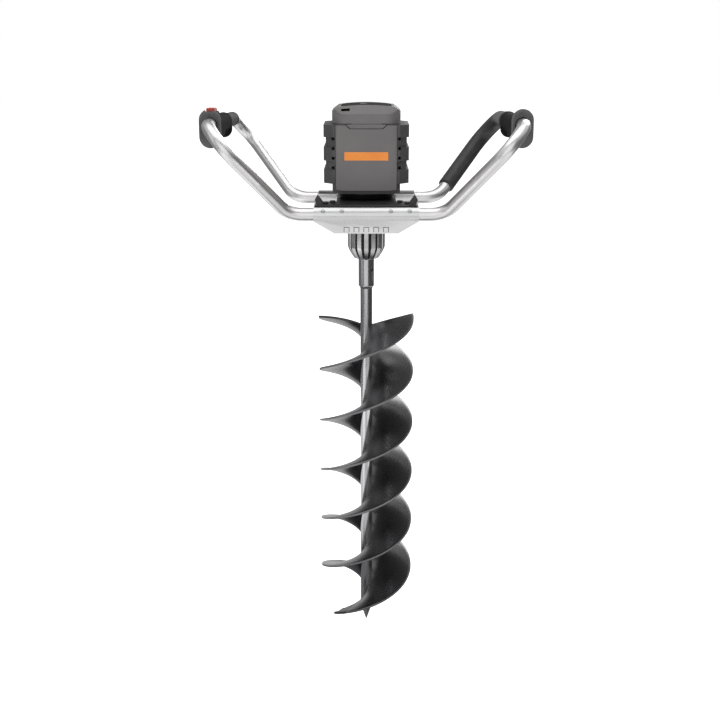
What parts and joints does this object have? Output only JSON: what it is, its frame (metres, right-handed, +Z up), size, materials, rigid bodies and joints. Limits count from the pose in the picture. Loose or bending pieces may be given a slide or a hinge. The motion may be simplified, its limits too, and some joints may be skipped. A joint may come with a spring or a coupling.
{
  "type": "earth auger",
  "caption": "Battery earth auger: a motor and planetary gearbox on a bent tube frame with hand grips, driving a double-flight bit with a pilot point.",
  "frame": {"origin": "tip of the pilot point, on the axis of the bit", "axes": "+Z up along the bit's axis to the powerhead, -Y towards the front of the machine, away from the operator, +X to the right as seen from the front"},
  "size_m": [0.6272, 0.4841, 1.149],
  "materials": {
    "gunmetal": "satin gunmetal paint",
    "black_enamel": "satin black enamel",
    "blade_steel": "satin dark steel",
    "steel": "machined",
    "magnet": "nickel plated",
    "copper": "enamelled wire",
    "gearbox_cast": "dark anodised casting",
    "cast_aluminium": "die cast",
    "tube_aluminium": "polished",
    "bracket_aluminium": "satin sheet",
    "black_metal": "black powder coat",
    "grey_plastic": "fine grain",
    "dark_plastic": "fine grain",
    "black_plastic": "satin",
    "grip_plastic": "fine grain",
    "red_plastic": "smooth",
    "black_rubber": "matte",
    "foam": "closed-cell foam",
    "board": "solder mask"
  },
  "bodies": {
    "frame": {"shaft_seal": "black_rubber", "output_bearings": "steel", "gearbox_nose": "gearbox_cast", "ring_gear": "steel", "motor_bearings": "steel", "motor_base": "black_metal", "motor_case": "cast_aluminium", "stator_core": "steel", "stator_windings": "copper", "front_bracket": "bracket_aluminium", "rear_bracket": "bracket_aluminium", "base_plate": "black_metal", "bracket_screws": "steel", "plate_bolts": "black_metal", "left_handle_tube": "tube_aluminium", "right_handle_tube": "tube_aluminium", "left_grip_inner": "grip_plastic", "left_grip_outer": "grip_plastic", "right_grip_inner": "grip_plastic", "right_grip_outer": "grip_plastic", "grip_screws": "steel", "left_rear_sleeve": "black_rubber", "thigh_pad": "foam", "trigger_pin": "steel", "trigger_spring": "steel", "trigger_switch": "black_plastic", "lock_spring": "steel", "housing_shell": "dark_plastic", "front_panel": "grey_plastic", "rear_panel": "grey_plastic", "left_side_guard": "dark_plastic", "right_side_guard": "dark_plastic", "battery_tray": "black_plastic", "battery_packs": "black_plastic", "controller_board": "board", "lid_hinge_pin": "steel"},
    "bit": {"pilot_point": "gunmetal", "cutting_blades": "blade_steel", "flight_a": "black_enamel", "flight_b": "black_enamel", "auger_shaft": "gunmetal", "drive_pin": "steel", "spacer_ring": "gunmetal", "output_shaft": "steel"},
    "carrier": {"carrier_1": "steel"},
    "rotor": {"motor_shaft": "steel", "rotor_core": "steel", "rotor_magnets": "magnet", "fan": "black_plastic"},
    "planet_2a": {"planet_2a": "steel"},
    "planet_2b": {"planet_2b": "steel"},
    "planet_2c": {"planet_2c": "steel"},
    "planet_1a": {"planet_1a": "steel"},
    "planet_1b": {"planet_1b": "steel"},
    "planet_1c": {"planet_1c": "steel"},
    "trigger": {"trigger": "black_plastic"},
    "lock": {"lock_button": "red_plastic"},
    "lid": {"battery_lid": "grey_plastic", "lid_top_plate": "black_plastic"},
    "latch": {"lid_latch": "grey_plastic"}
  },
  "joints": [
    {"name": "output_spin", "type": "hinge", "parent": "frame", "child": "bit", "pos_m": [0, 0, 0], "axis": [0, 0, 1], "continuous": true},
    {"name": "carrier_spin", "type": "hinge", "parent": "frame", "child": "carrier", "pos_m": [0, 0, 0], "axis": [0, 0, 1], "continuous": true},
    {"name": "motor_spin", "type": "hinge", "parent": "frame", "child": "rotor", "pos_m": [0, 0, 0], "axis": [0, 0, 1], "continuous": true},
    {"name": "planet_2a_spin", "type": "hinge", "parent": "bit", "child": "planet_2a", "pos_m": [0.0165, 0, 0.88373], "axis": [0, 0, 1], "continuous": true},
    {"name": "planet_2b_spin", "type": "hinge", "parent": "bit", "child": "planet_2b", "pos_m": [-0.00825, 0.01429, 0.88373], "axis": [0, 0, 1], "continuous": true},
    {"name": "planet_2c_spin", "type": "hinge", "parent": "bit", "child": "planet_2c", "pos_m": [-0.00825, -0.01429, 0.88373], "axis": [0, 0, 1], "continuous": true},
    {"name": "planet_1a_spin", "type": "hinge", "parent": "carrier", "child": "planet_1a", "pos_m": [0.0165, 0, 0.90693], "axis": [0, 0, 1], "continuous": true},
    {"name": "planet_1b_spin", "type": "hinge", "parent": "carrier", "child": "planet_1b", "pos_m": [-0.00825, 0.01429, 0.90693], "axis": [0, 0, 1], "continuous": true},
    {"name": "planet_1c_spin", "type": "hinge", "parent": "carrier", "child": "planet_1c", "pos_m": [-0.00825, -0.01429, 0.90693], "axis": [0, 0, 1], "continuous": true},
    {"name": "trigger_pull", "type": "hinge", "parent": "frame", "child": "trigger", "pos_m": [-0.2926, -0.06284, 1.0928], "axis": [-1, 0, 0], "range_deg": [0, 9], "stiffness_Nm_per_rad": 0.5, "springref_deg": -11.46, "deforming": ["trigger_spring"]},
    {"name": "lock_press", "type": "slide", "parent": "frame", "child": "lock", "axis": [0, -0.0357, -0.9994], "range_m": [0, 0.003], "stiffness_N_per_m": 800, "springref_m": -0.002, "deforming": ["lock_spring"]},
    {"name": "lid_open", "type": "hinge", "parent": "frame", "child": "lid", "pos_m": [0, 0.0725, 1.11703], "axis": [-1, 0, 0], "range_deg": [0, 105]},
    {"name": "latch_pull", "type": "hinge", "parent": "lid", "child": "latch", "pos_m": [0, -0.06555, 1.11693], "axis": [-1, 0, 0], "range_deg": [0, 12], "stiffness_Nm_per_rad": 0.05, "springref_deg": -11.46}
  ],
  "couplings": [
    {"joint": "carrier_spin", "follows": "output_spin", "ratio": 5},
    {"joint": "motor_spin", "follows": "output_spin", "ratio": 25},
    {"joint": "planet_2a_spin", "follows": "output_spin", "ratio": -2.6667},
    {"joint": "planet_2b_spin", "follows": "output_spin", "ratio": -2.6667},
    {"joint": "planet_2c_spin", "follows": "output_spin", "ratio": -2.6667},
    {"joint": "planet_1a_spin", "follows": "output_spin", "ratio": -13.333},
    {"joint": "planet_1b_spin", "follows": "output_spin", "ratio": -13.333},
    {"joint": "planet_1c_spin", "follows": "output_spin", "ratio": -13.333}
  ]
}
